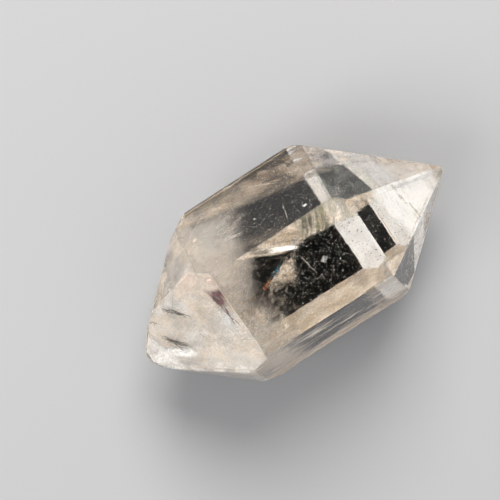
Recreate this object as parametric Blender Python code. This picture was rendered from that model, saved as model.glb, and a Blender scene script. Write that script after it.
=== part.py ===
"""A doubly terminated quartz crystal, in metres, +Z up.

The crystal grew as one piece, so it is one solid. Its long axis lies along X, it rests on a prism
face, and the origin is in that face, under the middle of the crystal. It starts as a block that is
cut by the planes of the crystal's faces. The edges and tips are then worn, and shallow growth
steps, pits and chips are taken out of the faces.
"""

import math
import random

import bmesh
import bpy
from mathutils import Matrix, Vector

MM = 0.001
NAME = "crystal"
COLLECTION = "herkimer_diamond"
SEED = 7

# Distance of each face from the middle of the crystal, in millimetres. The faces are numbered
# round the long axis in steps of 60 degrees: 2 looks up, 5 is the face that the crystal rests on.
PRISM_REACH = (8.35, 8.16, 7.96, 7.84, 8.68, 7.96)
RIGHT_REACH = (10.24, 10.79, 11.26, 11.06, 10.86, 9.50)
LEFT_REACH = (10.38, 11.51, 10.43, 11.56, 11.12, 10.42)
REST_FACE = 5
FACE_STEP = math.radians(60)
FIRST_FACE = math.radians(-30)
TIP_FACE_TO_AXIS = math.radians(51.79)  # between a tip face's normal and the long axis, in quartz
LEANING_FACE = (5, 1)  # grew in steps too fine to see, so it leans off the ideal angle
LEAN = math.radians(1.0)
BLOCK = 60.0

# Wear: width of the worn edge strips, and how deep the corners and then the two points are worn.
EDGE_WEAR = (0.035, 0.075)
CORNER_WEAR = (0.05, 0.11)
POINT_WEAR = (0.045, 0.02)
POINT_LENGTH = 1.6

# Growth steps: face, end (0 prism, 1 right, -1 left), middle along and across the face, length,
# width, turn in degrees, height of the waves of the inner border, and number of tiers. Each tier
# inside the one before is narrower and as much deeper again.
STEP_DEPTH = 0.05
STEP_SHRINK = 0.62
STEP_ABOVE = 0.6
STEPS = (
    (2, 0, 1.6, 4.3, 10.4, 2.7, 180, 0.22, 1),
    (1, 0, -0.6, 4.5, 10.5, 1.9, 180, 0.20, 1),
    (3, 0, -0.5, -5.2, 12.5, 0.9, 0, 0.08, 2),
    (4, 0, 5.6, -0.2, 8.6, 2.4, 90, 0.25, 3),
    (0, 0, -5.9, -0.1, 8.6, 2.6, -90, 0.28, 3),
    (0, 0, 5.2, 0.3, 8.6, 1.5, 90, 0.20, 3),
    (0, -1, -2.0, 0.3, 8.0, 1.4, 90, 0.20, 2),
    (4, -1, -2.6, 0.0, 7.4, 1.2, 90, 0.20, 2),
    (4, 1, 2.6, 0.0, 6.4, 1.2, -90, 0.20, 2),
)
STEP_SEGMENTS = 26

# Three-sided pits: face, end, place along and across the face, radius, depth, turn in degrees.
PITS = (
    (2, -1, -4.5, 0.8, 0.42, 0.10, 10),
    (2, -1, -7.2, -1.2, 0.30, 0.08, 22),
    (2, -1, -9.3, 0.6, 0.26, 0.06, 5),
    (2, -1, -6.0, 2.4, 0.34, 0.09, 14),
    (1, 1, 3.2, 0.8, 0.28, 0.07, 50),
    (1, 1, 6.0, -0.6, 0.22, 0.05, 66),
    (2, 1, 5.5, 0.3, 0.24, 0.06, 30),
    (3, 1, 4.0, 0.3, 0.24, 0.05, 45),
    (5, 1, 5.6, 0.8, 0.36, 0.08, 25),
    (4, -1, -5.0, -0.8, 0.40, 0.09, 20),
    (4, -1, -8.0, 0.4, 0.26, 0.06, 38),
    (0, 0, 1.4, 1.6, 0.36, 0.07, 90),
    (4, 0, -2.2, -1.0, 0.32, 0.06, 80),
    (1, 0, 3.9, -1.9, 0.20, 0.05, 35),
)
PIT_ABOVE = 0.3

# Chips along the edges: first face, its end, second face, its end, share of the way along the
# edge, radius of the bite and its depth.
CHIPS = (
    (1, 1, 2, 1, 0.06, 0.60, 0.13),
    (1, 1, 2, 1, 0.24, 0.42, 0.10),
    (2, 0, 1, 1, 0.45, 0.40, 0.12),
    (2, 0, 2, 1, 0.12, 0.50, 0.10),
    (2, 0, 2, 1, 0.92, 0.34, 0.08),
    (1, 0, 2, 0, 0.30, 0.55, 0.12),
    (1, 0, 2, 0, 0.62, 0.45, 0.10),
    (1, 0, 2, 0, 0.84, 0.60, 0.13),
    (3, 0, 4, 0, 0.34, 0.60, 0.12),
    (3, 0, 4, 0, 0.71, 0.45, 0.10),
    (0, 0, 1, 0, 0.55, 0.60, 0.13),
    (0, 0, 5, 0, 0.40, 0.55, 0.11),
    (2, -1, 3, -1, 0.55, 0.50, 0.12),
    (0, -1, 1, -1, 0.62, 0.45, 0.10),
    (2, -1, 1, -1, 0.30, 0.35, 0.08),
)
CHIP_DETAIL = 2
WELD_REACH = 0.000002  # metres: closes the hairline gaps that the cuts leave

CLEAR_QUARTZ = (0.97, 0.955, 0.93, 1.0)
QUARTZ_IOR = 1.544
POLISH = 0.03


def face_normal(face, end):
    """Outward normal of a face: end 0 is the prism, 1 the right tip and -1 the left tip."""
    turn = FIRST_FACE + face * FACE_STEP
    across = Vector((0.0, math.cos(turn), math.sin(turn)))
    if end == 0:
        return across
    angle = TIP_FACE_TO_AXIS + (LEAN if (face, end) == LEANING_FACE else 0.0)
    return across * math.sin(angle) + Vector((end * math.cos(angle), 0.0, 0.0))


def face_reach(face, end):
    """Distance of a face from the middle of the crystal."""
    return {0: PRISM_REACH, 1: RIGHT_REACH, -1: LEFT_REACH}[end][face]


def face_frame(face, end, along, across, turn=0.0):
    """Matrix that puts a flat shape on a face: its Z is the normal, its X runs with the long axis."""
    normal = face_normal(face, end)
    long_axis = Vector((1.0, 0.0, 0.0))
    x_axis = (long_axis - normal * long_axis.dot(normal)).normalized()
    y_axis = normal.cross(x_axis)
    place = normal * face_reach(face, end) + x_axis * along + y_axis * across
    axes = Matrix((x_axis, y_axis, normal)).transposed().to_4x4()
    return Matrix.Translation(place) @ axes @ Matrix.Rotation(math.radians(turn), 4, "Z")


def cut(bm, point, normal):
    """Takes away what is in front of a plane, and closes the solid with one face."""
    everything = bm.verts[:] + bm.edges[:] + bm.faces[:]
    result = bmesh.ops.bisect_plane(
        bm, geom=everything, dist=1e-5, plane_co=point, plane_no=normal, clear_outer=True
    )
    rim = [item for item in result["geom_cut"] if isinstance(item, bmesh.types.BMEdge)]
    if len(rim) > 2:
        bmesh.ops.contextual_create(bm, geom=rim)


def cut_faces(bm):
    """The eighteen crystal faces: six round the prism and six at each tip."""
    for end in (0, 1, -1):
        for face in range(6):
            normal = face_normal(face, end)
            cut(bm, normal * face_reach(face, end), normal)


def wear_edges(bm, chance):
    """A narrow flat strip along each edge, and a smaller one across each corner."""
    strips = []
    for edge in bm.edges:
        normal = (edge.link_faces[0].normal + edge.link_faces[1].normal).normalized()
        middle = (edge.verts[0].co + edge.verts[1].co) / 2
        strips.append((middle - normal * chance.uniform(*EDGE_WEAR), normal))
    for vert in bm.verts:
        normal = sum((face.normal for face in vert.link_faces), Vector()).normalized()
        strips.append((vert.co - normal * chance.uniform(*CORNER_WEAR), normal))
    for point, normal in strips:
        cut(bm, point, normal)


def round_points(bm):
    """Rounds the two points: each pass takes the corners off that the one before has left."""
    for depth in POINT_WEAR:
        bm.normal_update()
        ends = (min(vert.co.x for vert in bm.verts), max(vert.co.x for vert in bm.verts))
        strips = []
        for vert in bm.verts:
            if min(abs(vert.co.x - end) for end in ends) < POINT_LENGTH:
                normal = sum((face.normal for face in vert.link_faces), Vector()).normalized()
                strips.append((vert.co - normal * depth, normal))
        for point, normal in strips:
            cut(bm, point, normal)


def wavy_slab(bm, length, width, depth, wave, matrix, chance):
    """A closed slab whose inner border waves: it reaches from `depth` below a face to above it."""
    made = bmesh.ops.create_grid(bm, x_segments=STEP_SEGMENTS, y_segments=1, size=0.5)
    verts = made["verts"]
    phase = [chance.uniform(0, math.tau) for _ in range(3)]
    for vert in verts:
        share = vert.co.x
        inner = vert.co.y > 0
        taper = 1 - abs(2 * share) ** 4
        ripple = math.sin(9 * share + phase[0]) + 0.6 * math.sin(21 * share + phase[1])
        ripple += 0.35 * math.sin(47 * share + phase[2])
        reach = width * 0.5 * taper + wave * ripple if inner else -width
        vert.co = Vector((share * length, max(reach, -0.8 * width) if inner else reach, -depth))
    faces = list({face for vert in verts for face in vert.link_faces})
    grown = bmesh.ops.extrude_face_region(bm, geom=faces)["geom"]
    lifted = [item for item in grown if isinstance(item, bmesh.types.BMVert)]
    bmesh.ops.translate(bm, verts=lifted, vec=(0, 0, depth + STEP_ABOVE))
    bmesh.ops.transform(bm, verts=verts + lifted, matrix=matrix)


def growth_steps(tier, chance):
    """Cutter for one tier of every set of growth steps."""
    bm = bmesh.new()
    depth = STEP_DEPTH * (tier + 1)
    shrink = STEP_SHRINK**tier
    for face, end, along, across, length, width, turn, wave, tiers in STEPS:
        if tier >= tiers:
            continue
        matrix = face_frame(face, end, along, across, turn)
        step_back = Matrix.Translation((0, -0.5 * width * (1 - shrink), 0))
        size = (length * (1 - 0.12 * tier), width * shrink)
        wavy_slab(bm, size[0], size[1], depth, wave * shrink, matrix @ step_back, chance)
    return cutter(bm, f"growth_steps_{tier + 1}")


def pits():
    """Cutter for the three-sided pits: cones that point into the faces."""
    bm = bmesh.new()
    for face, end, along, across, radius, depth, turn in PITS:
        slope = radius / depth
        matrix = face_frame(face, end, along, across, turn)
        middle = Matrix.Translation((0, 0, (PIT_ABOVE - depth) / 2))
        bmesh.ops.create_cone(
            bm,
            cap_ends=True,
            segments=3,
            radius1=0.0,
            radius2=slope * (depth + PIT_ABOVE),
            depth=depth + PIT_ABOVE,
            matrix=matrix @ middle,
        )
    return cutter(bm, "pits")


def shared_edge(first, second):
    """The two ends of the edge between two faces, on a fresh uncut crystal."""
    bm = bmesh.new()
    bmesh.ops.create_cube(bm, size=BLOCK)
    cut_faces(bm)
    ends = []
    for vert in bm.verts:
        if all(abs(face_normal(*one).dot(vert.co) - face_reach(*one)) < 1e-3 for one in (first, second)):
            ends.append(vert.co.copy())
    bm.free()
    return sorted(ends, key=lambda point: (round(point.x, 3), round(point.y, 3)))


def chips(chance):
    """Cutter for the shell-shaped chips along the edges."""
    bm = bmesh.new()
    for face_a, end_a, face_b, end_b, share, radius, depth in CHIPS:
        first, second = (face_a, end_a), (face_b, end_b)
        start, stop = shared_edge(first, second)
        outward = (face_normal(*first) + face_normal(*second)).normalized()
        centre = start.lerp(stop, share) + outward * (radius - depth)
        stretch = Matrix.Diagonal((chance.uniform(1.0, 1.5), 1.0, 1.0, 1.0))
        bmesh.ops.create_icosphere(
            bm,
            subdivisions=CHIP_DETAIL,
            radius=radius,
            matrix=Matrix.Translation(centre) @ stretch,
        )
    return cutter(bm, "chips")


def to_mesh(bm, name):
    """Turns a bmesh in millimetres into an object in metres that stands on the rest face."""
    bmesh.ops.recalc_face_normals(bm, faces=bm.faces[:])
    bmesh.ops.translate(bm, verts=bm.verts[:], vec=(0, 0, PRISM_REACH[REST_FACE]))
    bmesh.ops.scale(bm, verts=bm.verts[:], vec=(MM, MM, MM))
    mesh = bpy.data.meshes.new(name)
    bm.to_mesh(mesh)
    bm.free()
    return bpy.data.objects.new(name, mesh)


def cutter(bm, name):
    """An object that only takes material away, kept out of the render."""
    thing = to_mesh(bm, name)
    bpy.data.collections["cutters"].objects.link(thing)
    thing.hide_render = True
    thing.display_type = "WIRE"
    return thing


def subtract(target, tool, overlapping=False):
    """Takes the cutter out of the crystal. The slabs of one tier overlap where two faces meet."""
    modifier = target.modifiers.new(tool.name, "BOOLEAN")
    modifier.operation = "DIFFERENCE"
    modifier.solver = "EXACT"
    modifier.use_self = overlapping
    modifier.object = tool


def quartz():
    """Clear, faintly warm quartz."""
    material = bpy.data.materials.new("clear_quartz")
    material.use_nodes = True
    shader = material.node_tree.nodes["Principled BSDF"]
    shader.inputs["Base Color"].default_value = CLEAR_QUARTZ
    shader.inputs["Roughness"].default_value = POLISH
    shader.inputs["IOR"].default_value = QUARTZ_IOR
    shader.inputs["Transmission Weight"].default_value = 1.0
    material.diffuse_color = CLEAR_QUARTZ
    return material


def crystal():
    """The worn crystal, before its steps, pits and chips are cut."""
    bm = bmesh.new()
    bmesh.ops.create_cube(bm, size=BLOCK)
    cut_faces(bm)
    bm.normal_update()
    wear_edges(bm, random.Random(SEED))
    round_points(bm)
    bmesh.ops.remove_doubles(bm, verts=bm.verts[:], dist=0.002)
    bmesh.ops.dissolve_degenerate(bm, edges=bm.edges[:], dist=0.001)
    body = to_mesh(bm, NAME)
    body.data.materials.append(quartz())
    bpy.data.collections[COLLECTION].objects.link(body)
    return body


def main():
    for thing in list(bpy.data.objects):
        bpy.data.objects.remove(thing, do_unlink=True)
    for name in (COLLECTION, "cutters"):
        bpy.context.scene.collection.children.link(bpy.data.collections.new(name))
    body = crystal()
    chance = random.Random(SEED + 1)
    for tier in range(max(step[-1] for step in STEPS)):
        subtract(body, growth_steps(tier, chance), overlapping=True)
    subtract(body, pits())
    subtract(body, chips(chance))
    weld = body.modifiers.new("weld", "WELD")
    weld.merge_threshold = WELD_REACH


main()
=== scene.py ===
# %% [markdown]
# # A clear, doubly terminated quartz crystal
# The crystal is one solid with flat faces and a point at each end, and inside it is a small world of
# veils, wisps and specks. It could be modelled here from nothing, but its solid already exists as a
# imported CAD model, so that is loaded. The rest of this file is about how the crystal looks: the clear
# material, what is caught inside it, the floor, the light and the camera.

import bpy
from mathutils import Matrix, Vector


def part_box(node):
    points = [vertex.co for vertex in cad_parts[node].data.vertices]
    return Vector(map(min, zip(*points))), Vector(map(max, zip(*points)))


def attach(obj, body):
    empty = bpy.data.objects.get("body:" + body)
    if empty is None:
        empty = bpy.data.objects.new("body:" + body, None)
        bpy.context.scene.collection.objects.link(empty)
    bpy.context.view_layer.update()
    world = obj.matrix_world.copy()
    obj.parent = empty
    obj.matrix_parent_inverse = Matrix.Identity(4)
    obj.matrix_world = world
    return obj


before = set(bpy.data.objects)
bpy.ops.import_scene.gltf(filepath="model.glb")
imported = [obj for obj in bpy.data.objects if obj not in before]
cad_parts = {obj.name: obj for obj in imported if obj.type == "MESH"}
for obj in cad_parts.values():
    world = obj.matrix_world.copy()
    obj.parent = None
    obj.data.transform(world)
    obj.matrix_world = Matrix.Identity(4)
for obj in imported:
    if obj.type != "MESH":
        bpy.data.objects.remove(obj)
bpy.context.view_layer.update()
print("the packed solid is loaded")

# %% [markdown]
# ## Modules and units
# Blender counts in metres, but a crystal is easier to describe in millimetres. All places below are
# in millimetres, and one named value turns them into metres when a mesh or a pattern is finished.
# The size of the crystal is measured on its mesh instead of being written down a second time.

# %% Modules and units
import math
import random

import bmesh
import bpy
from mathutils import Matrix, Vector, noise

MM = 0.001
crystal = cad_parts["crystal"]
low, high = (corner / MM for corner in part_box("crystal"))
print("crystal", " x ".join(f"{side:.1f}" for side in high - low), "mm")

# %% [markdown]
# ## Camera
# A crystal like this is photographed from above with a long lens, so that its edges stay almost
# parallel. The camera could be turned by three angles, but two directions are easier to read: where
# the camera is, and which way is up in the picture. The camera's three axes then make its matrix. It
# looks at the middle of the crystal, moved aside and up a little.

# %% Camera
TOWARDS_CAMERA = Vector((0.0955, 0.2506, 0.9634))
PICTURE_UP = Vector((0.5388, 0.8008, -0.2617))
CAMERA_DISTANCE = 239.8
ASIDE = -3.94
ABOVE = 0.94
SENSOR = 36.0
LENS = 180.0
CENTRE = Vector((0, 0, (low.z + high.z) / 2))


def make_camera():
    """A long lens above the crystal, a little to its side."""
    back = TOWARDS_CAMERA.normalized()
    right = PICTURE_UP.cross(back).normalized()
    up = back.cross(right)
    data = bpy.data.cameras.new("camera")
    data.lens = LENS
    data.sensor_width = SENSOR
    camera = bpy.data.objects.new("camera", data)
    turn = Matrix((right, up, back)).transposed().to_4x4()
    place = CENTRE + right * ASIDE + up * ABOVE + back * CAMERA_DISTANCE
    camera.matrix_world = Matrix.Translation(place * MM) @ turn
    bpy.context.scene.collection.objects.link(camera)
    return camera


camera = make_camera()
bpy.context.scene.camera = camera
print("camera at", [round(value / MM) for value in camera.matrix_world.translation], "mm")

# %% [markdown]
# ## Shader maths
# A pattern could be built box by box in the shader editor, but it is easier to read as a sum. The
# small class below wraps a socket, so that `1 - mask * 0.5` adds its own Math nodes. It asks the
# nodes that it belongs to for each of them.

# %% A socket that does sums


class Value:
    """A number or a colour that flows through a shader, with the usual operators for numbers."""

    def __init__(self, nodes, socket):
        self.nodes = nodes
        self.socket = socket

    def maths(self, operation, *items):
        """Adds one Math node and hands back its result."""
        return self.nodes.node("Math", {"operation": operation}, dict(enumerate(items)))

    def __add__(self, other):
        return self.maths("ADD", self, other)

    def __sub__(self, other):
        return self.maths("SUBTRACT", self, other)

    def __rsub__(self, other):
        return self.maths("SUBTRACT", other, self)

    def __mul__(self, other):
        return self.maths("MULTIPLY", self, other)

    __radd__ = __add__
    __rmul__ = __mul__

    def highest(self, other):
        """The larger of two."""
        return self.maths("MAXIMUM", self, other)

    def between(self, start, stop):
        """0 at start, 1 at stop, and smooth between them."""
        inputs = {"Value": self, "From Min": start, "From Max": stop}
        return self.nodes.node("MapRange", {"interpolation_type": "SMOOTHSTEP"}, inputs, "Result")


print("sockets can be added, subtracted and multiplied")

# %% [markdown]
# ## One method for every node
# Nodes could be added one by one with a few lines each, which soon hides what they are for. Here one
# method adds them all, also for the sums above, the materials and the sky. It takes the node's type,
# its settings, with the stops of a colour ramp among them, and its inputs. A number, a colour of
# three numbers or another node's output can be plugged in.

# %% One method that adds any node


class Nodes:
    """A node tree, the one method that adds its nodes, and one that fills a socket."""

    def __init__(self, tree):
        self.tree = tree

    def plug(self, socket, item):
        """Puts a number, a colour or another node's output into an input."""
        if isinstance(item, Value):
            self.tree.links.new(item.socket, socket)
        else:
            socket.default_value = (*item, 1) if socket.type == "RGBA" else item

    def node(self, kind, settings=None, inputs=None, output=0):
        """Adds a node, sets it up, feeds its inputs and hands back one of its outputs."""
        made = self.tree.nodes.new(f"ShaderNode{kind}")
        settings = dict(settings or {})
        stops = settings.pop("stops", ())
        for name, value in settings.items():
            setattr(made, name, value)
        while stops and len(made.color_ramp.elements) < len(stops):
            made.color_ramp.elements.new(0.5)
        for index, (position, colour) in enumerate(stops):
            made.color_ramp.elements[index].position = position
            made.color_ramp.elements[index].color = (*colour, 1)
        for name, value in (inputs or {}).items():
            self.plug(made.inputs[name], value)
        return Value(self, made.outputs[output])


print("any node can be added by its type")

# %% [markdown]
# ## Patterns of this crystal
# A finish is a material with a few patterns that all its users share: object coordinates in
# millimetres, cloudy noise, the way along a direction, a mix of two colours and a bump. Object
# coordinates are used because they stick to the crystal however the camera and the crystal move.

# %% A finish with the patterns of this crystal
MIX_COLOURS = 6, 7, 2
SEED_STEP = 0.05


class Finish(Nodes):
    """A material with its Principled shader."""

    def __init__(self, name, **inputs):
        self.material = bpy.data.materials.new(name)
        self.material.use_nodes = True
        super().__init__(self.material.node_tree)
        self.set(**inputs)

    def set(self, **inputs):
        """Feeds inputs of the Principled shader: base_color stands for Base Color."""
        for name, value in inputs.items():
            words = "IOR" if name == "ior" else name.replace("_", " ").title()
            self.plug(self.tree.nodes["Principled BSDF"].inputs[words], value)

    def place(self, stretch=(1, 1, 1), run=(1, 0, 0), seed=0.0):
        """Object coordinates in millimetres, with X turned along a direction and then stretched."""
        inputs = {"Vector": self.node("TexCoord", output="Object"),
                  "Location": (seed * SEED_STEP,) * 3,
                  "Rotation": Vector(run).to_track_quat("X", "Z").to_euler(),
                  "Scale": [MM / value for value in stretch]}
        return self.node("Mapping", {"vector_type": "TEXTURE"}, inputs)

    def grain(self, scale, detail=3.0, stretch=(1, 1, 1), run=(1, 0, 0), seed=0.0, roughness=0.55):
        """Cloudy noise from 0 to 1: scale is in lumps per millimetre."""
        inputs = {"Scale": scale, "Detail": detail, "Roughness": roughness}
        return self.node("TexNoise", inputs={"Vector": self.place(stretch, run, seed), **inputs})

    def way(self, direction, start=(0, 0, 0)):
        """Millimetres from a start point along a direction."""
        unit = Vector(direction).normalized()
        inputs = {0: self.place(), 1: unit}
        dot = self.node("VectorMath", {"operation": "DOT_PRODUCT"}, inputs, output="Value")
        return dot - unit.dot(Vector(start))

    def blend(self, factor, first, second):
        """A mix of two colours, through the Mix node's colour sockets."""
        first_socket, second_socket, result = MIX_COLOURS
        inputs = {0: factor, first_socket: first, second_socket: second}
        return self.node("Mix", {"data_type": "RGBA"}, inputs, output=result)

    def bump(self, height, distance):
        """Tilts the shading by a height, without moving the surface."""
        inputs = {"Height": height, "Strength": 1.0, "Distance": distance}
        self.set(normal=self.node("Bump", inputs=inputs))


print("finishes have place, grain, way, blend and bump")

# %% [markdown]
# ## The faces of the crystal
# In a real crystal a healed crack or a ghost of an earlier face lies a little way in from a face of
# today. Places could be typed in as points, but then they would float free of the shape. So they are
# given on the crystal's own faces. Quartz keeps its angles, so the ideal direction of each face is
# known. Its true direction and place are measured on the solid, from the triangles that point nearly
# that way. A face is known by its number round the long axis and by the end it belongs to.

# %% Measure the eighteen faces
FACE_STEP = math.radians(60)
FIRST_FACE = math.radians(-30)
TIP_FACE_TO_AXIS = math.radians(51.79)
NEARLY = math.cos(math.radians(2))
PRISM, RIGHT, LEFT = 0, 1, -1


def ideal_normal(number, end):
    """The outward direction of a face, counted round the long axis."""
    turn = FIRST_FACE + number * FACE_STEP
    across = Vector((0, math.cos(turn), math.sin(turn)))
    if end == PRISM:
        return across
    return across * math.sin(TIP_FACE_TO_AXIS) + Vector((end * math.cos(TIP_FACE_TO_AXIS), 0, 0))


def measure_face(ideal):
    """The direction of a face, and how far it is from the origin in millimetres."""
    mesh = crystal.data
    near = [part for part in mesh.polygons if part.normal.dot(ideal) > NEARLY]
    normal = sum((part.normal * part.area for part in near), Vector()).normalized()
    corners = {index for part in near for index in part.vertices}
    reach = max(normal.dot(mesh.vertices[index].co) for index in corners) / MM
    return normal, reach


faces = {}
for end in (PRISM, RIGHT, LEFT):
    for number in range(6):
        faces[number, end] = measure_face(ideal_normal(number, end))
        print((number, end), f"{faces[number, end][1]:.2f} mm from the origin")

# %% [markdown]
# ## Names and places on the faces
# Numbers are hard to picture, so the faces that are used get names. A place on a face is then two
# millimetre counts, along the long axis and across it, from the foot of the middle of the crystal.
# A matrix does the step from there to space, so a piece can be laid on any face in one move.

# %% Names for the faces
TOP, BACK, FRONT = (2, PRISM), (1, PRISM), (3, PRISM)
UNDER_BACK, UNDER_FRONT = (0, PRISM), (4, PRISM)
TIP_TOP, TIP_BACK, TIP_FRONT = (2, RIGHT), (1, RIGHT), (3, RIGHT)
TIP_REST, TIP_UNDER = (5, RIGHT), (4, RIGHT)
LEFT_TOP, LEFT_BACK, LEFT_FRONT = (2, LEFT), (1, LEFT), (3, LEFT)


def face_place(face, along, across, depth=0.0, turn=0.0):
    """A matrix in millimetres on a face: X runs with the long axis and Z points out."""
    normal, reach = faces[face]
    long_axis = Vector((1, 0, 0))
    x_axis = (long_axis - normal * long_axis.dot(normal)).normalized()
    y_axis = normal.cross(x_axis)
    foot = CENTRE + normal * (reach - normal.dot(CENTRE) - depth)
    axes = Matrix((x_axis, y_axis, normal)).transposed().to_4x4()
    spot = Matrix.Translation(foot + x_axis * along + y_axis * across)
    return spot @ axes @ Matrix.Rotation(math.radians(turn), 4, "Z")


def face_way(face, direction):
    """A direction in a face as a direction in space."""
    return face_place(face, 0, 0).to_3x3() @ Vector((*direction, 0))


print(f"the top face is {face_place(TOP, 0, 0).translation.z:.2f} mm above the floor")

# %% [markdown]
# ## Cutting by a plane
# A crystal ends in flat faces, and so do the shells and sheets inside it. They could be trimmed with
# a boolean, but that is slow and can fail on open sheets. A bisection by a plane works on both, and
# its cut edges can be filled when a shell has to be closed.

# %% Cut by a plane
CUT_TOLERANCE = 1e-4


def cut_off(bm, place, normal):
    """Clears what lies beyond a plane and hands back the edges of the cut."""
    everything = bm.verts[:] + bm.edges[:] + bm.faces[:]
    cut = bmesh.ops.bisect_plane(bm, geom=everything, dist=CUT_TOLERANCE, plane_co=place,
                                 plane_no=normal, clear_outer=True)
    return [item for item in cut["geom_cut"] if isinstance(item, bmesh.types.BMEdge)]


print("meshes can be cut by a plane")

# %% [markdown]
# ## Finishing a piece
# All pieces are made in a bmesh in millimetres, and one helper turns them into objects. The place of
# a piece stays in its mesh and its object stays at the origin, because the patterns read object
# coordinates and would slide if an object were moved. Each piece rides with the crystal, so the two
# can't come apart.

# %% Finish a piece


def keep(bm, name, material):
    """Turns a bmesh in millimetres into a piece that rides with the crystal."""
    bmesh.ops.scale(bm, verts=bm.verts[:], vec=(MM, MM, MM))
    mesh = bpy.data.meshes.new(name)
    bm.to_mesh(mesh)
    bm.free()
    mesh.materials.append(material)
    piece = bpy.data.objects.new(name, mesh)
    bpy.context.scene.collection.objects.link(piece)
    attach(piece, "root")
    print(f"{name}: {len(mesh.polygons)} faces")


print("pieces are kept in metres, with their place in the mesh")

# %% [markdown]
# ## Clear quartz
# Quartz is water clear, so nearly all of the look comes from refraction at its own index, 1.544. A
# thin glass shader or a see-through alpha would lose the inner reflections that make its windows and
# bands, so the solid gets plain transmission. A trace of absorption makes long paths through it a
# little warm. A bump a few thousandths of a millimetre high gives the flat faces the low hillocks
# and growth lines that real ones have, and faint smudges dull the gloss here and there.

# %% The clear material
QUARTZ_IOR = 1.544
ABSORPTION_COLOUR = (1.0, 0.95, 0.87)
ABSORPTION_DENSITY = 7.0
HILLOCK_HEIGHT = 0.004
LINE_SHARE = 0.4
SMUDGE_RANGE, SMUDGE_ROUGHNESS = (0.55, 0.75), 0.05


def clear_quartz():
    """Water-clear quartz with a faint warm cast."""
    finish = Finish("clear_quartz", base_color=(1, 1, 1), ior=QUARTZ_IOR, transmission_weight=1.0)
    absorption = finish.node("VolumeAbsorption",
                             inputs={"Color": ABSORPTION_COLOUR, "Density": ABSORPTION_DENSITY})
    finish.plug(finish.tree.nodes["Material Output"].inputs["Volume"], absorption)
    hillocks = finish.grain(0.9, 4.0)
    growth_lines = finish.grain(3.0, 2.0, stretch=(2.5, 0.5, 0.5))
    smudges = finish.grain(0.7, 5.0, roughness=0.7).between(*SMUDGE_RANGE)
    finish.bump(hillocks + growth_lines * LINE_SHARE, HILLOCK_HEIGHT * MM)
    finish.set(roughness=smudges * SMUDGE_ROUGHNESS)
    return finish.material


crystal.data.materials.clear()
crystal.data.materials.append(clear_quartz())
print("clear material on", crystal.name)

# %% [markdown]
# ## Milk
# The left end is milky: it grew fast and caught countless tiny bubbles of liquid. Real milk is a
# volume, but a volume is slow and grainy inside refracting glass. Here it is a nest of thin shells,
# each a smaller copy of the crystal: a block cut by the measured faces, moved in by a depth. Many
# thin layers look like depth.

# %% Shells inside the crystal
BLOCK = 60.0
LONGEST_EDGE = 1.2
SHELL_WAVES, SHELL_RIPPLE = 0.5, 0.15


def cut_by_faces(bm, depth):
    """Cuts a block by the eighteen faces, each moved in by a depth, and closes every cut."""
    for normal, reach in faces.values():
        rim = cut_off(bm, normal * (reach - depth), normal)
        if len(rim) > 2:
            bmesh.ops.contextual_create(bm, geom=rim)


def refine(bm, longest):
    """Splits long edges until none is longer than asked."""
    bmesh.ops.triangulate(bm, faces=bm.faces[:])
    while True:
        long_edges = [edge for edge in bm.edges if edge.calc_length() > longest]
        if not long_edges:
            return
        bmesh.ops.subdivide_edges(bm, edges=long_edges, cuts=1)
        bmesh.ops.triangulate(bm, faces=[face for face in bm.faces if len(face.verts) > 3])


def shell(depth, seed):
    """A closed inner crystal whose faces lie a depth inside those of today."""
    bm = bmesh.new()
    bmesh.ops.create_cube(bm, size=BLOCK)
    cut_by_faces(bm, depth)
    refine(bm, LONGEST_EDGE)
    bm.normal_update()
    for vert in bm.verts:
        shake = noise.noise(vert.co * SHELL_WAVES + Vector((seed, 0, 0)))
        vert.co += vert.normal * shake * SHELL_RIPPLE
    bmesh.ops.recalc_face_normals(bm, faces=bm.faces[:])
    return bm


print("shell helpers ready")

# %% [markdown]
# ### The finish of the milk
# The milk is dense at the left and ends in ragged clouds round the clear middle. A painted mask would
# fix the border at one size, so it is worked out: two slanting ways towards the left, shifted by two
# noises, drive the alpha. The surface is a rough metal, which sends light back much as bubbles do.

# %% The milky finish
SHELLS = (
    (0.9, 0.30, -1.4), (1.9, 0.45, -0.6), (3.0, 0.55, 0.0), (4.2, 0.62, 0.4), (5.4, 0.65, 0.8))
MILK_LIGHT, MILK_DARK = (0.97, 0.94, 0.89), (0.88, 0.84, 0.79)
BACK_MILK, BACK_START = (-1, 0.75, 0), -5.0
FRONT_MILK, FRONT_START = (-1, -0.65, 0), -5.9
CLOUD_DRIFT, WISP_DRIFT, DRIFT_BACK = 4.4, 3.0, 3.65
MILK_SOFT = 3.0
WISP_RANGE, WISP_SHARE = (0.3, 0.68), 0.55
RIPPLE_SEED, MILK_SEED = 7.3, 0.7


def milk(name, strength, shift, seed):
    """Thickens to the left. Its edge bends round the clear middle, and two noises shift it."""
    finish = Finish(name, metallic=1.0, roughness=0.9)
    cloud = finish.grain(0.30, 4.0, seed=seed, roughness=0.6)
    wisps = finish.grain(0.9, 6.0, stretch=(0.5, 1, 1), run=(1, 0.25, 0.1), seed=seed,
                         roughness=0.62)
    back = finish.way(BACK_MILK, (BACK_START + shift, 0, 0))
    front = finish.way(FRONT_MILK, (FRONT_START + shift, 0, 0))
    drift = cloud * CLOUD_DRIFT + wisps * WISP_DRIFT - DRIFT_BACK
    left = (back.highest(front) + drift).between(0, MILK_SOFT)
    alpha = left * (wisps.between(*WISP_RANGE) * WISP_SHARE + (1 - WISP_SHARE)) * strength
    tone = finish.blend(cloud.between(0.4, 0.6), MILK_LIGHT, MILK_DARK)
    finish.set(alpha=alpha, base_color=tone)
    return finish.material


for index, (depth, strength, shift) in enumerate(SHELLS):
    name = f"milk_{index + 1}"
    material = milk(name, strength, shift, index * MILK_SEED)
    keep(shell(depth, index * RIPPLE_SEED), name, material)

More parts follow.
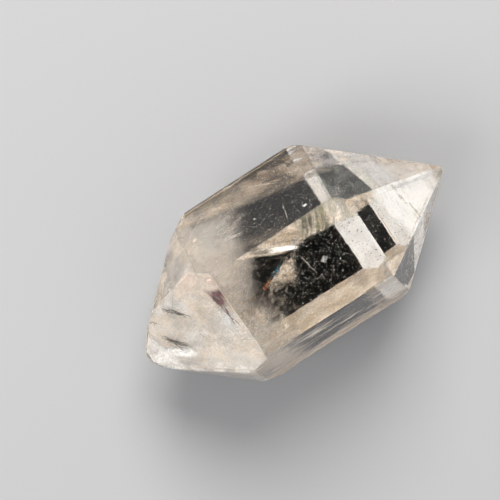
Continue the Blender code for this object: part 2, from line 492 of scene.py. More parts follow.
# %% [markdown]
# ## Veils
# A veil is a healed crack: a sheet of tiny bubbles, brightest where it is dense, with streaks, holes
# and ragged borders. It could be a cloud of modelled bubbles, but those would be millions. Each veil
# here is a grid laid a little way inside a face, rippled by noise and trimmed to the crystal. Its
# holes and streaks are in the alpha of its material, which stays sharp at any size, so the grid can
# be coarse.

# %% A sheet inside a face
VEIL_GAP = 0.12
VEIL_STEP = 0.3
VEIL_WAVES, DEPTH_SEED = 0.7, 9


def sheet(face, area, depth, ripple, cuts=(), step=VEIL_STEP):
    """A thin rippled grid: area is from and to along the face, then from and to across it."""
    bm = bmesh.new()
    start, stop, near, far = area
    along, across = (start + stop) / 2, (near + far) / 2
    length, width = stop - start, far - near
    parts = max(2, round(length / step)), max(2, round(width / step))
    bmesh.ops.create_grid(bm, x_segments=parts[0], y_segments=parts[1], size=0.5)
    bmesh.ops.scale(bm, verts=bm.verts[:], vec=(length, width, 1))
    bmesh.ops.transform(bm, verts=bm.verts[:], matrix=face_place(face, along, across, depth))
    for spot, direction in cuts:
        cut_off(bm, face_place(face, *spot, depth).translation, face_way(face, direction))
    for vert in bm.verts:
        shake = noise.noise(vert.co * VEIL_WAVES + Vector((depth * DEPTH_SEED, *face)))
        vert.co += faces[face][0] * shake * ripple
    for normal, reach in faces.values():
        cut_off(bm, normal * (reach - VEIL_GAP), normal)
    return bm


print("sheets stay", VEIL_GAP, "mm inside the crystal")

# %% [markdown]
# ### The finish of a veil
# The finish of a veil is rough metal again, seen through a mask. Noise stretched along one direction
# makes streaks, fine noise makes the dusty look, and each fade thins the veil out from a spot on its
# face, with a border that wanders. A lean turns the shading of a whole veil towards a lamp, as the
# tiny flat bubbles in a real one all turn the same way and light up together. Geometry could lean
# too, but then the sheet would no longer follow its face. A veil in one tone has it on the shader
# itself, and only one in two tones gets the nodes that mix them.

# %% The cloudy finish
DUST_SCALE, DUST_RANGE = 5.5, (0.38, 0.62)
BORDER_WAVES, BORDER_TEETH, TEETH_SHARE, BORDER_MEAN = 0.5, 3.5, 0.5, 0.75
TONE_SCALE, TONE_SEED, TONE_RANGE = 0.7, 3.1, (0.35, 0.65)


def fade(face, spot, direction, soft):
    """A fade that starts at a spot on a face and thickens along a direction in that face."""
    return face_way(face, direction), face_place(face, *spot).translation, soft


def cloudy(name, light, dark, fades=(), amount=(0.1, 0.9), scale=1.2, stretch=(0.35, 1, 1),
           run=(1, 0, 0), cover=(0.35, 0.65), wander=0.8, roughness=0.85, detail=6.0, dust=0.35,
           seed=0.0, lean=None):
    """A patchy veil. Each fade is a direction, a start point and the way over which it thickens.

    amount is the alpha of its thin and dense parts, and cover the part of the noise between them.
    wander is how far its borders stray in millimetres, dust how much the fine noise takes away, and
    lean a direction that its shading is turned towards.
    """
    finish = Finish(name, metallic=1.0, roughness=roughness, base_color=light)
    if dark != light:
        mottle = finish.grain(scale * TONE_SCALE, 5.0, stretch, run, seed + TONE_SEED, 0.65)
        finish.set(base_color=finish.blend(mottle.between(*TONE_RANGE), light, dark))
    wisps = finish.grain(scale, detail, stretch, run, seed, 0.68)
    fine = finish.grain(DUST_SCALE, 2.0, seed=seed)
    waves = finish.grain(BORDER_WAVES, 2.0, seed=seed)
    teeth = finish.grain(BORDER_TEETH, 3.0, seed=seed)
    border = waves + teeth * TEETH_SHARE - BORDER_MEAN
    alpha = wisps.between(*cover) * (amount[1] - amount[0]) + amount[0]
    alpha = alpha * (1.0 - fine.between(*DUST_RANGE) * dust)
    for direction, start, soft in fades:
        alpha = alpha * (finish.way(direction, start) + border * wander).between(0, soft)
    finish.set(alpha=alpha)
    if lean:
        finish.bump(finish.way(lean) * (-MM * Vector(lean).length), 1.0)
    return finish.material


def veil(name, face, area, depth, ripple, light, dark, fades=(), cuts=(), **look):
    """A cloudy sheet in two tones. Its fades and cuts are spots and directions on its face."""
    ways = [fade(face, *row) for row in fades]
    keep(sheet(face, area, depth, ripple, cuts), name, cloudy(name, light, dark, ways, **look))


WHITE, CREAM, TAN = (1.0, 0.99, 0.97), (1.0, 0.93, 0.84), (0.82, 0.71, 0.57)
GREY, SMOKE, BROWN = (0.70, 0.68, 0.67), (0.62, 0.54, 0.45), (0.30, 0.23, 0.17)
print("veil helpers and the six common tones are ready")

# %% [markdown]
# ### Veils along the back
# Behind the sloping upper back face lie several veils, one over the other: a cream one near the
# surface, a brownish, swirling one under it and a soft tan one below both. They end along a slanting
# ragged border, and a thin golden one follows the back edge. One sheet with a busy pattern could
# stand for them all, but they slide over each other when the crystal turns, so each is its own.

# %% Back veils
GOLD = (0.80, 0.62, 0.36)
BACKWARDS = (0.29, 0.957)
BACK_RUN = face_way(BACK, (0.94, -0.34))
veil("back_deep", BACK, (-8, 7.6, -1.0, 5.2), 3.0, 0.3, TAN, GREY,
     [((0.0, 2.3), BACKWARDS, 0.9), ((6.0, 0), (-1, 0), 7.0)],
     amount=(0.3, 0.8), stretch=(0.3, 1, 1), run=BACK_RUN, seed=0.8)
veil("back_smoke", BACK, (-3, 7.6, -1.0, 5.2), 1.7, 0.4, BROWN, SMOKE,
     [((0.0, 2.2), BACKWARDS, 0.7), ((-2.5, 0), (1, 0), 3.0)],
     amount=(0.15, 1.0), scale=0.8, stretch=(0.4, 1.3, 1.3), run=BACK_RUN, cover=(0.40, 0.52),
     seed=1.1)
veil("back_cream", BACK, (-8, 7.6, -1.5, 5.2), 0.4, 0.15, TAN, CREAM,
     [((0.0, 1.25), BACKWARDS, 0.6), ((3.2, 0), (-1, -0.2), 6.0)],
     amount=(0.2, 0.75), scale=0.7, stretch=(0.55, 1, 1), run=BACK_RUN, seed=0.4)
veil("back_threads", BACK, (-1.0, 7.4, 0.0, 5.2), 0.8, 0.2, CREAM, GOLD,
     [((0.0, 1.5), BACKWARDS, 0.5), ((-0.5, 0), (1, 0), 3.0)],
     amount=(0.0, 0.5), scale=1.9, stretch=(0.12, 1.2, 1.2), run=BACK_RUN, cover=(0.5, 0.66),
     seed=2.2)
veil("back_rim", UNDER_BACK, (-6.5, 6.2, -4.5, 4.4), 0.3, 0.05, TAN, GOLD,
     [((0.0, 2.2), (0, -1), 2.5)],
     amount=(0.3, 0.9), stretch=(0.25, 1, 1), seed=1.9)
veil("back_low", BACK, (-6.5, 7.0, -4.4, 1.0), 1.0, 0.2, SMOKE, TAN,
     [((0.0, -1.0), (-0.35, -0.94), 2.6), ((4.0, 0), (-1, 0), 5.0)],
     amount=(0.03, 0.34), scale=0.9, stretch=(0.3, 1, 1), run=BACK_RUN, seed=2.6)

# %% [markdown]
# ### Veils along the upper edge
# The boundary between the two upper faces has its own veils just under the surface: smooth tan and
# cream on the left and steep comb-like lines on the right. The bright streak at the border of the
# clear window is a painted glare, a white glossy sheet that leans towards the key lamp. The comb could
# be a wave texture, but its even bands looked woven. Noise stretched along one steep direction has
# the right irregular teeth.

# %% Edge veils
OLIVE = (0.62, 0.57, 0.43)
EDGE_RUN, COMB_RUN = (0.90, -0.42, 0), (0.50, 0.86, 0)
veil("edge_band", TOP, (-6.0, 2.8, 1.4, 4.9), 0.35, 0.1, CREAM, TAN,
     [((-2.6, 4.25), (0.42, 1.0), 0.25), ((0, 2.8), (0, 1), 0.3), ((2.8, 0), (-1, 0.3), 1.8)],
     amount=(0.3, 0.9), scale=1.5, stretch=(0.2, 1.2, 1), run=EDGE_RUN, cover=(0.3, 0.6),
     wander=0.5, seed=1.3)
veil("edge_comb", TOP, (0.2, 7.9, 1.4, 4.9), 0.45, 0.1, CREAM, OLIVE,
     [((3.0, 2.85), (0.12, 1.0), 0.3), ((0.6, 3), (1, 0), 1.6)],
     amount=(0.35, 0.95), scale=2.1, stretch=(0.22, 1.0, 1.0), run=COMB_RUN, cover=(0.34, 0.62),
     wander=0.7, seed=2.7)
# Painted glare: a white glossy sheet that leans towards the key lamp paints the bright streak.
veil("edge_painted_glare", TOP, (-1.6, 2.4, 2.4, 4.4), 0.25, 0.1, WHITE, CREAM,
     [((0.6, 3.1), (0.40, 0.9), 0.25), ((0.4, 3.95), (-0.40, -0.9), 0.5), ((-1.0, 0), (1, 0), 1.4),
      ((2.2, 0), (-1, 0), 1.2)],
     amount=(0.6, 1.0), scale=2.0, stretch=(0.2, 1.2, 1), run=EDGE_RUN, wander=0.25, roughness=0.4,
     seed=5.5, lean=(0.17, 0.32, 0))

# %% [markdown]
# ### Veils under the far faces
# What is seen through the top is mostly the far side: the flanks below the middle show as bright
# bands beside the dark rest face. The bands could be lit by brighter lamps below, but in the real
# crystal they are cream and dusty. So thin veils follow those flanks and catch the light there.

# %% Far veils
veil("under_front", UNDER_FRONT, (-7, 6.6, -4.2, 4.1), 0.3, 0.05, CREAM, TAN,
     amount=(0.75, 0.97), scale=0.8, stretch=(0.5, 1, 1), dust=0.15, seed=2.1)
veil("under_tip_front", TIP_UNDER, (-0.6, 12.4, -5, 5), 0.3, 0.05, WHITE, CREAM,
     amount=(0.6, 0.92), scale=0.7, stretch=(0.6, 1, 1), dust=0.15, seed=2.9)

# %% [markdown]
# ### Veils of the right tip
# The right tip is the clearest part, and its long upper face glares white. Light from behind goes
# in, turns at the far faces and comes out towards the camera. More lamps could make this glare, but
# here it is a painted glare: white sheets under a few faces, which lean towards the key lamp, stand
# in for it. Chips, cracks and a grey haze break it up as in the real one, and a faint greenish grey
# patch is painted shade where the far faces show a dark window.

# %% Tip veils
# Greenish grey of the painted shade patch in the right tip.
PAINTED_SHADE_GREEN = (0.52, 0.56, 0.50)
HAZE = (0.88, 0.88, 0.88)
# Painted glare: a nearly opaque white sheet under the far tip face, leaning towards the key lamp,
# paints the white band that light turned inside the tip makes.
veil("tip_painted_glare_band", TIP_REST, (-0.5, 7.0, -6.5, 6.2), 0.22, 0.03, WHITE, WHITE,
     [((5.4, 0), (-1, 0), 1.5)],
     amount=(0.85, 1.0), scale=0.8, stretch=(0.6, 1, 1), wander=1.5, dust=0.1, roughness=0.55,
     seed=3.3, lean=(0.41, 0.15, 0.32))
# Painted glare: a white sheet under the long upper tip face, leaning towards the key lamp, paints its
# white glare.
veil("tip_painted_glare", TIP_TOP, (3.0, 12.6, -4.6, 4.6), 0.35, 0.05, WHITE, WHITE,
     [((4.3, 0.0), (0.974, 0.225), 1.2), ((12.2, 0.0), (-1, 0), 1.6)],
     amount=(0.6, 1.0), scale=0.9, stretch=(1.2, 0.4, 1), cover=(0.3, 0.5), wander=0.8, dust=0.1,
     lean=(-0.18, 0.35, 0.14), seed=3.5)
veil("tip_chips", TIP_TOP, (-0.4, 4.4, 0.6, 4.6), 0.3, 0.1, CREAM, TAN,
     [((2.0, 2.45), (0.18, 1), 0.35)],
     amount=(0.3, 0.95), scale=1.6, stretch=(0.5, 1, 1), cover=(0.32, 0.55), wander=1.0, seed=3.7)
veil("tip_cracks", TIP_TOP, (5.6, 9.5, -3.0, 2.6), 0.25, 0.05, TAN, GREY,
     [((6.6, 0.2), (1, 0.1), 0.3), ((7.7, 0.2), (-1, -0.1), 0.6)],
     amount=(0.0, 0.85), scale=1.5, stretch=(0.25, 1.4, 1), run=(0.25, -1, 0.2), cover=(0.48, 0.6),
     wander=0.8, seed=3.6)
veil("tip_cloud", TIP_BACK, (0.6, 6.6, -1.0, 4.6), 0.3, 0.08, CREAM, GREY,
     [((3.0, 0.2), (-0.1, 1), 0.7)],
     amount=(0.35, 0.9), scale=1.0, stretch=(0.5, 1, 1), seed=3.9)
veil("tip_low", TIP_TOP, (-0.4, 12.0, -5.6, -2.0), 0.3, 0.05, CREAM, CREAM,
     [((5.0, -2.9), (0.0, -1), 0.6)],
     amount=(0.25, 0.7), scale=1.0, stretch=(0.3, 1, 1), dust=0.15, wander=0.5,
     lean=(-0.1, 0.3, 0.1), seed=3.45)
veil("tip_haze", TIP_BACK, (4.0, 12.0, -4.6, 3.0), 0.35, 0.05, HAZE, GREY,
     [((4.9, -0.8), (0.96, 0.27), 0.6)],
     amount=(0.3, 0.62), scale=0.6, stretch=(0.7, 1, 1), dust=0.15, wander=0.4, seed=3.8)
# Painted shade: a faint greenish grey veil stands in for the dark window that the far faces show
# through this part of the tip.
veil("tip_painted_shade", TIP_BACK, (0.4, 6.4, -5, 1.6), 0.45, 0.1, PAINTED_SHADE_GREEN, GREY,
     [((6.2, 0), (-1, 0), 1.0)],
     amount=(0.08, 0.42), scale=1.2, stretch=(0.4, 1, 1), run=(0.6, 0.6, -0.5), seed=5.2)
veil("tip_streaks", TIP_FRONT, (0.3, 12.2, -4.6, 4.8), 0.3, 0.05, CREAM, TAN,
     [((0.6, 0.0), (1, 0), 4.0)],
     amount=(0.0, 0.8), scale=1.8, stretch=(0.08, 1.4, 1.4), run=(0.1, 0.3, -0.9),
     cover=(0.46, 0.66), seed=6.9)

# %% [markdown]
# ### Veils of the front face
# The steep front face is seen at a low angle. Bright threads that run with the long axis cross its
# dark inside, and a cream rim follows its lower border. Threads could be single thin rods, but there
# are hundreds, so strongly stretched noise draws them on one sheet.

# %% Front veils
veil("front_rim", FRONT, (-8.6, 7.8, -5.4, 4.6), 0.3, 0.05, CREAM, TAN,
     [((0.0, -2.3), (0.05, -1), 0.8)],
     amount=(0.5, 0.95), scale=1.0, stretch=(0.3, 1, 1), wander=0.8, dust=0.1, seed=6.1)
veil("front_end", FRONT, (3.5, 7.8, -5.4, 4.6), 0.25, 0.05, TAN, SMOKE,
     [((4.3, 0), (1, 0), 0.8)],
     amount=(0.4, 0.75), scale=1.0, stretch=(0.4, 1, 1), dust=0.2, seed=6.2)
veil("front_streaks", FRONT, (-8.6, 7.8, -5.4, 4.6), 0.2, 0.05, CREAM, TAN,
     amount=(0.0, 0.95), scale=1.3, stretch=(0.12, 1.2, 1.2), cover=(0.54, 0.61), dust=0.1,
     roughness=0.6, lean=(-0.23, 0.35, 0.60), seed=6.6)

# %% [markdown]
# ### Clouds at the left end
# The left tip is milky right up to its faces. The shells above are too deep for that, so soft white
# clouds follow its faces closely: pinkish near the upper edge and whitest at the bottom. One small
# bright patch is a painted highlight, a white sheet where a hidden growth face would catch the light.

# %% Left clouds
PINK = (0.95, 0.76, 0.70)
veil("left_top", LEFT_TOP, (-13, -0.5, -6, 6), 0.8, 0.1, WHITE, CREAM,
     amount=(0.45, 0.88), scale=0.45, stretch=(0.7, 1, 1), dust=0.25, lean=(0.3, 0.17, 0), seed=4.1)
veil("left_blush", LEFT_TOP, (-5, -0.3, 1.0, 6), 0.6, 0.1, PINK, CREAM,
     [((-1.5, 2.6), (0.3, 1), 2.4)],
     amount=(0.35, 0.8), scale=0.6, wander=1.6, seed=4.4)
veil("left_base", LEFT_TOP, (-13, -0.5, -6.2, 1.0), 0.5, 0.1, WHITE, WHITE,
     [((-6.0, -2.2), (-0.25, -0.97), 2.2)],
     amount=(0.3, 1.0), scale=0.9, cover=(0.38, 0.58), roughness=0.7,
     lean=(0.42, 0.36, 0.33), wander=2.0, seed=4.3)
# Painted highlight: a small white glossy patch, leaning towards the key lamp, where a hidden growth
# face would catch the light.
veil("left_painted_highlight", LEFT_TOP, (-11, -5.5, -3.4, 0.4), 0.42, 0.02, WHITE, WHITE,
     [((-8.8, -0.5), (-0.28, -0.96), 0.7), ((-6.5, -1.4), (-0.8, 0.4), 1.4),
      ((-8.8, -2.4), (0.3, 0.95), 0.8)],
     amount=(0.45, 1.0), scale=1.4, dust=0.2, roughness=0.5, lean=(0.42, 0.36, 0.33), wander=0.9,
     seed=4.35)
veil("left_point", LEFT_TOP, (-13, -7.5, -3.0, 3.0), 0.3, 0.05, WHITE, WHITE,
     [((-9.6, -0.6), (-0.9, -0.4), 1.6)],
     amount=(0.45, 0.95), scale=1.0, wander=1.2, roughness=0.65, lean=(0.42, 0.36, 0.33), seed=4.25)
veil("left_back", LEFT_BACK, (-12, -0.5, -5, 5), 0.5, 0.1, GREY, CREAM,
     [((-7.0, 0), (1, 0), 5.0)],
     amount=(0.4, 0.85), scale=0.6, stretch=(0.6, 1, 1), dust=0.15, seed=4.7)
veil("left_low", LEFT_FRONT, (-13, -0.3, -6.5, 6.5), 0.35, 0.05, WHITE, CREAM,
     amount=(0.5, 0.95), scale=0.7, stretch=(0.6, 1, 1), dust=0.15, seed=4.9)

# %% [markdown]
# ### Fractures
# A few cracks never healed. One is a small three-sided sheet deep in the middle with ragged wisps
# below it. Another one, reddish brown, runs along the border of the left tip, with painted glints
# beside it: white spots on a glossy sheet. Masks alone would leave the clean sides blurred, so those
# are cut straight through the sheet.

# %% Fractures
MAROON, ROSE = (0.22, 0.06, 0.08), (0.60, 0.40, 0.38)
FRACTURE_CUTS = (((-0.32, 1.65), (-0.42, 0.9)),)
veil("fracture", TOP, (-4.3, 1.2, -1.6, 1.9), 4.0, 0.1, CREAM, TAN,
     [((-1.7, -0.1), (0.5, 0.85), 1.0), ((0.55, 0.9), (-0.85, -0.5), 0.4),
      ((0.45, 0.2), (-0.75, 0.65), 0.5)],
     cuts=FRACTURE_CUTS, amount=(0.1, 0.85), scale=1.8, stretch=(0.8, 1, 1), cover=(0.36, 0.48),
     wander=0.9, seed=7.0)
veil("fracture_rags", TOP, (-4.6, 1.2, -2.2, 1.9), 4.2, 0.1, CREAM, TAN,
     [((-2.6, -1.2), (0.3, 0.95), 1.8), ((0.3, 0), (-0.8, 0.6), 1.0)],
     cuts=FRACTURE_CUTS, amount=(0.0, 1.0), scale=2.2, stretch=(0.8, 1, 0.5), run=(0.6, 0.8, 0),
     cover=(0.46, 0.6), wander=2.2, detail=8.0, seed=7.3)
veil("wisps", TOP, (-6.4, 0.6, -4.2, 1.0), 4.9, 0.2, CREAM, TAN,
     [((-1.4, -0.8), (-0.8, -0.6), 2.6), ((-6.4, 0.5), (1.0, -0.1), 1.5)],
     amount=(0.0, 0.8), scale=1.1, stretch=(0.8, 1, 0.6), run=(0.7, 0.7, 0), cover=(0.45, 0.66),
     detail=9.0, wander=1.5, seed=6.0)
veil("red_fracture", LEFT_TOP, (-3.0, -0.3, 0.6, 4.6), 0.38, 0.1, MAROON, ROSE,
     [((-1.75, 2.7), (0.96, 0.25), 0.35), ((-1.0, 1.7), (0.2, 0.98), 0.7),
      ((-1.0, 3.9), (-0.3, -0.95), 0.5)],
     amount=(0.45, 0.97), scale=2.0, stretch=(0.5, 1, 1), run=(0.35, -0.9, 0.2), cover=(0.36, 0.5),
     dust=0.1, wander=0.7, seed=7.75)
# Painted glints: white spots on a glossy sheet that leans towards a lamp.
veil("painted_glints", LEFT_TOP, (-2.8, -0.3, -2.6, 2.4), 0.3, 0.1, WHITE, GREY,
     [((-2.4, 0), (1, 0.1), 1.0), ((-1.2, 2.1), (0, -1), 1.0)],
     amount=(0.0, 1.0), scale=4.0, cover=(0.53, 0.6), roughness=0.45, lean=(0.6, 0.3, 0), seed=8.1)

# %% [markdown]
# ### A rainbow edge
# The clean edge of the deep crack shows rainbow colours, because a film of air thinner than a hair
# is caught in it. A thin-film shader would need a thickness for every spot. A ramp of the same
# colours along the edge, shaken by noise, gives the same streak, and its place is simply given.

# %% Rainbow edge
RAINBOW_STOPS = ((0.0, (0.05, 0.06, 0.06)), (0.25, (0.12, 0.36, 0.50)), (0.45, (0.08, 0.14, 0.16)),
                 (0.62, (0.35, 0.20, 0.08)), (0.85, (0.85, 0.34, 0.10)), (1.0, (0.5, 0.1, 0.08)))
RAINBOW_CUTS = (((-0.32, 1.65), (0.42, -0.9)), ((-0.32, 1.95), (-0.42, 0.9)))
FILM_PER_MM, FILM_SHAKE, FILM_ALPHA = 0.36, 0.6, 0.6


def rainbow():
    """Thin-film colours that run along the clean edge of the crack."""
    finish = Finish("rainbow", metallic=1.0, roughness=0.5)
    start = face_place(TOP, -0.5, 1.5).translation
    way = finish.way(face_way(TOP, (-0.9, -0.42)), start)
    film = (way + finish.grain(1.6, 3.0) * FILM_SHAKE - FILM_SHAKE / 2) * FILM_PER_MM
    colour = finish.node("ValToRGB", {"stops": RAINBOW_STOPS}, {0: film})
    finish.set(base_color=colour, alpha=finish.grain(2.5, 4.0).between(0.3, 0.5) * FILM_ALPHA)
    return finish.material


keep(sheet(TOP, (-3.2, 0.2, -0.2, 2.0), 3.95, 0.02, RAINBOW_CUTS, step=0.2), "rainbow", rainbow())

# %% [markdown]
# ### Thin lines
# Some inclusions are thin lines. A curve with a round bevel would give smooth wires. Each line here
# is a chain of short thin rods instead, whose joints wander a little, because real ones are uneven.

# %% Lines
RODS, ROD_SIDES = 7, 5
ROD_OVERLAP = 1.1
THIN_END, UNEVEN = 0.4, (0.7, 1.3)
BUNDLE_SPREAD, BUNDLE_SINK = 0.35, 1.2


def thread(bm, start, end, radius, wobble, chance):
    """A chain of short rods from one point to another, thinner at both ends."""
    points = []
    for index in range(RODS + 1):
        shift = Vector((chance.uniform(-1, 1), chance.uniform(-1, 1), chance.uniform(-1, 1)))
        points.append(start.lerp(end, index / RODS) + shift * wobble)
    for index, (first, second) in enumerate(zip(points, points[1:])):
        middle_share = 1 - abs(2 * (index + 0.5) / RODS - 1)
        thick = radius * (THIN_END + (1 - THIN_END) * middle_share) * chance.uniform(*UNEVEN)
        turn = (second - first).to_track_quat("Z", "Y").to_matrix().to_4x4()
        place = Matrix.Translation((first + second) / 2) @ turn
        long = (second - first).length * ROD_OVERLAP
        bmesh.ops.create_cone(bm, cap_ends=True, segments=ROD_SIDES, radius1=thick, radius2=thick,
                              depth=long, matrix=place)


def lines(name, rows, material, seed):
    """Rows are a face, a depth, two spots on the face, a radius, a wobble and a count."""
    chance = random.Random(seed)
    bm = bmesh.new()
    for face, depth, first, second, radius, wobble, count in rows:
        for index in range(count):
            spread = 0.0 if count == 1 else BUNDLE_SPREAD
            jitter = [chance.uniform(-spread, spread) for _ in range(4)]
            start = face_place(face, first[0] + jitter[0], first[1] + jitter[1], depth)
            stop = face_place(face, second[0] + jitter[2], second[1] + jitter[3],
                              depth * BUNDLE_SINK)
            thread(bm, start.translation, stop.translation, radius, wobble, chance)
    keep(bm, name, material)


print("line helpers ready")

# %% [markdown]
# ### Needles and red threads
# Dark needles lie in small feathery bundles just under the upper face of the left tip, and reddish
# threads follow that face's border. Lines typed in one by one would look drawn. A bundle is one row
# with a count instead: copies that share both ends but stray a little look grown.

# %% Needles and red threads
dark_line = Finish("dark_line", base_color=(0.10, 0.07, 0.05), roughness=0.7).material
red_line = Finish("red_line", base_color=MAROON, roughness=0.7).material
lines("needles", (
    (LEFT_TOP, 0.35, (-7.7, 3.45), (-6.8, 3.1), 0.035, 0.06, 4),
    (LEFT_TOP, 0.35, (-6.9, 3.1), (-5.6, 2.1), 0.04, 0.07, 5),
    (LEFT_TOP, 0.35, (-9.9, 0.8), (-8.9, -0.1), 0.035, 0.06, 4),
    (LEFT_TOP, 0.35, (-9.2, 0.2), (-7.8, -0.9), 0.04, 0.06, 5),
    (LEFT_TOP, 0.35, (-9.4, -0.4), (-8.7, -1.2), 0.03, 0.05, 4),
    (LEFT_TOP, 0.35, (-5.7, -0.1), (-5.1, -0.9), 0.025, 0.05, 2),
    (LEFT_TOP, 0.35, (-10.3, 2.4), (-9.8, 2.5), 0.035, 0.06, 2),
    (LEFT_TOP, 0.35, (-1.0, 3.3), (-0.9, 1.6), 0.02, 0.03, 2),
    (LEFT_BACK, 0.3, (-4.4, -1.2), (-6.6, -2.4), 0.02, 0.05, 1)), dark_line, seed=21)
lines("red_edge", (
    (LEFT_TOP, 0.3, (-0.95, 2.0), (-0.72, -1.0), 0.07, 0.06, 2),
    (LEFT_TOP, 0.3, (-1.5, 3.4), (-0.9, 1.8), 0.06, 0.05, 2)), red_line, seed=24)

# %% [markdown]
# ### Pale lines and an orange fringe
# Pale lines like scratches cross the clear part, and the border of the small window in the right tip
# has a thin orange fringe, where the crystal splits light like a prism. Cycles doesn't split light by
# colour, so the fringe is one more line, laid where it is seen.

# %% Pale lines and an orange fringe
pale_line = Finish("pale_line", base_color=(1.0, 0.96, 0.90), metallic=1.0, roughness=0.7).material
orange_line = Finish("orange_line", base_color=(0.95, 0.50, 0.18), metallic=1.0, roughness=0.5,
                     alpha=0.6).material
lines("hair_lines", (
    (TOP, 6.0, (1.24, 1.11), (1.59, -1.48), 0.022, 0.03, 1),
    (BACK, 5.0, (2.43, 1.15), (2.05, -0.64), 0.022, 0.03, 1),
    (BACK, 2.0, (-4.2, -0.1), (-1.8, -0.25), 0.035, 0.05, 3),
    (BACK, 0.9, (0.27, 3.31), (3.4, 2.08), 0.022, 0.05, 2)), pale_line, seed=22)
lines("orange_fringe", (
    (TIP_TOP, 0.3, (3.66, 1.6), (3.60, -2.6), 0.035, 0.012, 1),), orange_line, seed=23)

# %% [markdown]
# ### Specks
# The clear part is full of tiny bright specks. A speckled texture would lie flat on a surface, and
# instances would be lost on export. So each speck is a real three-sided pyramid, turned at random so
# that they glint in different strengths. A bmesh grows slow when many thousand shapes are added one
# by one, so they are made in batches.

# %% Specks
BATCH = 100
SPECK_GAP = 0.2
SMALLEST_SHARE = 0.3


def scatter(name, pick, material, count, radius, seed):
    """Many tiny closed flakes. pick gives the place of the next one."""
    chance = random.Random(seed)
    whole, batch = bmesh.new(), bpy.data.meshes.new("batch")
    points = []
    while len(points) < count:
        point = pick(chance)
        if all(normal.dot(point) < reach - SPECK_GAP for normal, reach in faces.values()):
            points.append(point)
    for start in range(0, count, BATCH):
        bm = bmesh.new()
        for point in points[start:start + BATCH]:
            wide = radius * (SMALLEST_SHARE + (1 - SMALLEST_SHARE) * chance.random() ** 2)
            axis = Vector((chance.gauss(0, 1), chance.gauss(0, 1), chance.gauss(0, 1)))
            turn = Matrix.Rotation(chance.uniform(0, math.tau), 4, axis)
            bmesh.ops.create_cone(bm, cap_ends=True, segments=3, radius1=wide, radius2=0, depth=wide,
                                  matrix=Matrix.Translation(point) @ turn)
        bm.to_mesh(batch)
        bm.free()
        whole.from_mesh(batch)
    bpy.data.meshes.remove(batch)
    keep(whole, name, material)


print("specks keep", SPECK_GAP, "mm inside the faces")

# %% [markdown]
# ### Where the specks are
# The specks fill the whole crystal thinly and crowd near the face that it rests on. Dark ones dot the
# far face that shows as a white band. A particle system could spread them too, but a small function
# for each crowd says plainly where its specks may be.

# %% Three crowds of specks
CROWD_X, CROWD_Y = (-7, 7), (-6, 6)
CROWD_LOW, CROWD_HEIGHT = 0.3, 4.5
BAND_START, BAND_LENGTH, BAND_ACROSS, BAND_DEPTH = 0.3, 3.0, (-3.5, 5.2), 0.5


def anywhere(chance):
    """Any place in the box of the crystal."""
    return Vector([chance.uniform(*ends) for ends in zip(low, high)])


def near_rest_face(chance):
    """Over the rest face, most often close to it."""
    across = chance.uniform(*CROWD_X), chance.uniform(*CROWD_Y)
    return Vector((*across, CROWD_LOW + CROWD_HEIGHT * chance.random() ** 2))


def on_tip_face(chance):
    """On the part of the far tip face that shows as a white band."""
    along = BAND_START + BAND_LENGTH * chance.random()
    return face_place(TIP_REST, along, chance.uniform(*BAND_ACROSS), BAND_DEPTH).translation


bright = Finish("bright_speck", base_color=(1, 0.97, 0.92), metallic=1.0, roughness=0.4).material
scatter("specks", anywhere, bright, count=4600, radius=0.062, seed=11)
scatter("specks_low", near_rest_face, bright, count=2800, radius=0.066, seed=12)
scatter("dark_specks", on_tip_face, dark_line, count=110, radius=0.11, seed=13)

# %% [markdown]
# ### Flakes
# A few larger flakes float among the specks: one square one in the clear window, a white one in the
# comb and some small ones. Each is a very thin block laid on a face and tilted a little, so that it
# has a sharp outline where a patch of noise would be soft.

# %% Flakes
FLAKE_THICKNESS = 0.04
FLAKE_TILT = math.radians(25)
FLAKES = (
    (TOP, 2.0, 3.18, 0.18, 0.62, 0.55, 30), (TOP, 0.22, 1.9, 3.35, 0.28, 0.8, -35),
    (BACK, 1.0, 4.46, -2.53, 0.35, 0.22, 10), (TOP, 5.0, 0.6, -0.4, 0.2, 0.2, 0),
    (TOP, 5.0, -1.6, 1.2, 0.16, 0.22, 20), (TOP, 4.0, 4.4, -1.0, 0.2, 0.14, 70),
    (TOP, 6.0, 2.4, -2.6, 0.15, 0.2, 45), (BACK, 3.0, -0.5, 0.6, 0.2, 0.15, 15))


def flakes():
    """Rows are a face, a depth, a spot on it, a length, a width and a turn in degrees."""
    bm = bmesh.new()
    for face, depth, along, across, length, width, turn in FLAKES:
        shape = Matrix.Diagonal((length, width, FLAKE_THICKNESS, 1))
        tilt = Matrix.Rotation(FLAKE_TILT, 4, "X")
        place = face_place(face, along, across, depth, turn) @ tilt @ shape
        bmesh.ops.create_cube(bm, size=1, matrix=place)
    return bm


flake = cloudy("flake", WHITE, GREY, amount=(0.55, 0.9), scale=3.0, stretch=(1, 1, 1), roughness=0.6)
keep(flakes(), "flakes", flake)

# %% [markdown]
# ## Floor
# The crystal rests on a plain pale floor, which also shows its shadow. A plane would do, but a round
# disc has no corner that could come into view. It is far larger than the view, so it has no horizon.

# %% Floor
FLOOR_RADIUS, FLOOR_SIDES = 1.5, 96
FLOOR_GREY = (0.31, 0.31, 0.315)


def make_floor():
    """A large pale disc under the crystal."""
    bm = bmesh.new()
    bmesh.ops.create_circle(bm, cap_ends=True, segments=FLOOR_SIDES, radius=FLOOR_RADIUS)
    mesh = bpy.data.meshes.new("floor")
    bm.to_mesh(mesh)
    bm.free()
    mesh.materials.append(Finish("pale_floor", base_color=FLOOR_GREY, roughness=0.9).material)
    floor = bpy.data.objects.new("floor", mesh)
    bpy.context.scene.collection.objects.link(floor)
    return floor


print("floor:", make_floor().dimensions[:])

# %% [markdown]
# ## Lamps
# A warm key lamp stands high behind the crystal. Its light goes down the long tip face, turns inside
# and leaves towards the camera, and it also lights the white sheets of the painted glare in the right
# tip, which lean towards it. A wide lamp on the left fills the milk. Both are soft discs, because a
# small hard lamp would put a bright dot on every flat face.

# %% Lamps
LAMP_DISTANCE = 0.6


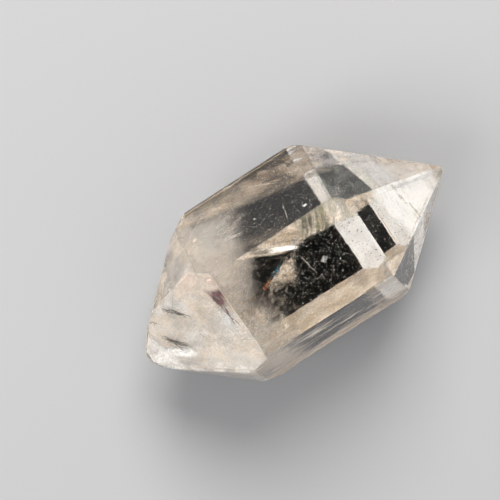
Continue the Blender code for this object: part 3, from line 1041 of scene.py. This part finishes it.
def make_light(name, azimuth, elevation, width, radiance, colour):
    """A round soft light that faces the crystal. Its power follows from its radiance and size."""
    data = bpy.data.lights.new(name, "AREA")
    data.shape = "DISK"
    data.size = width
    data.energy = radiance * math.pi * math.pi * (width / 2) ** 2
    data.color = colour
    lamp = bpy.data.objects.new(name, data)
    turn, lift = math.radians(azimuth), math.radians(elevation)
    flat = math.cos(lift)
    away = Vector((math.cos(turn) * flat, math.sin(turn) * flat, math.sin(lift)))
    lamp.location = CENTRE * MM + away * LAMP_DISTANCE
    lamp.rotation_mode = "QUATERNION"
    lamp.rotation_quaternion = away.to_track_quat("Z", "Y")
    bpy.context.scene.collection.objects.link(lamp)
    print(f"{name}: {data.energy:.2f} W")


make_light("key", azimuth=60, elevation=39, width=0.34, radiance=24.0, colour=(1.0, 0.98, 0.95))
make_light("left", azimuth=168, elevation=48, width=0.42, radiance=5.0, colour=(1.0, 0.99, 0.98))

# %% [markdown]
# ## Sky
# A pale even sky fills the rest. The two upper faces act as mirrors, and an even sky in them would
# wash out the dark windows below. A photographer would hang black cloth where the faces look, so the
# sky is darker in just those two directions.

# %% Sky
SKY_COLOUR = (0.97, 0.98, 1.0)
SKY_STRENGTH = 0.62
BLACK_CLOTH = (
    ((-0.0955, -0.2506, 0.9634), 0.91, 0.985, 0.90),
    ((0.914, -0.25, 0.319), 0.90, 0.98, 0.75))


def make_sky():
    """Rows of BLACK_CLOTH are a direction, the cosines where it starts and is full, and an amount."""
    world = bpy.data.worlds.new("studio")
    world.use_nodes = True
    sky = Nodes(world.node_tree)
    where = sky.node("TexCoord", output="Generated")
    strength = SKY_STRENGTH
    for direction, start, stop, amount in BLACK_CLOTH:
        inputs = {0: where, 1: direction}
        near = sky.node("VectorMath", {"operation": "DOT_PRODUCT"}, inputs, output="Value")
        strength = (1 - near.between(start, stop) * amount) * strength
    background = world.node_tree.nodes["Background"]
    sky.plug(background.inputs["Color"], SKY_COLOUR)
    sky.plug(background.inputs["Strength"], strength)
    return world


bpy.context.scene.world = make_sky()
print("sky with", len(BLACK_CLOTH), "dark patches")

# %% [markdown]
# ## Light paths
# Light in a clear crystal is turned back and forth many times, and each veil on the way is one more
# see-through layer. Too few bounces would leave black spots. Caustics are off: they would take very
# long to become smooth, and without them the floor under the crystal is dark, which gives the clear
# windows their depth.

# %% Light paths
cycles = bpy.context.scene.cycles
cycles.caustics_refractive = False
cycles.caustics_reflective = False
cycles.max_bounces = 24
cycles.glossy_bounces = 16
cycles.transmission_bounces = 20
cycles.transparent_max_bounces = 64
bpy.context.scene.view_settings.view_transform = "Standard"
print("up to", cycles.transmission_bounces, "bounces through the crystal")
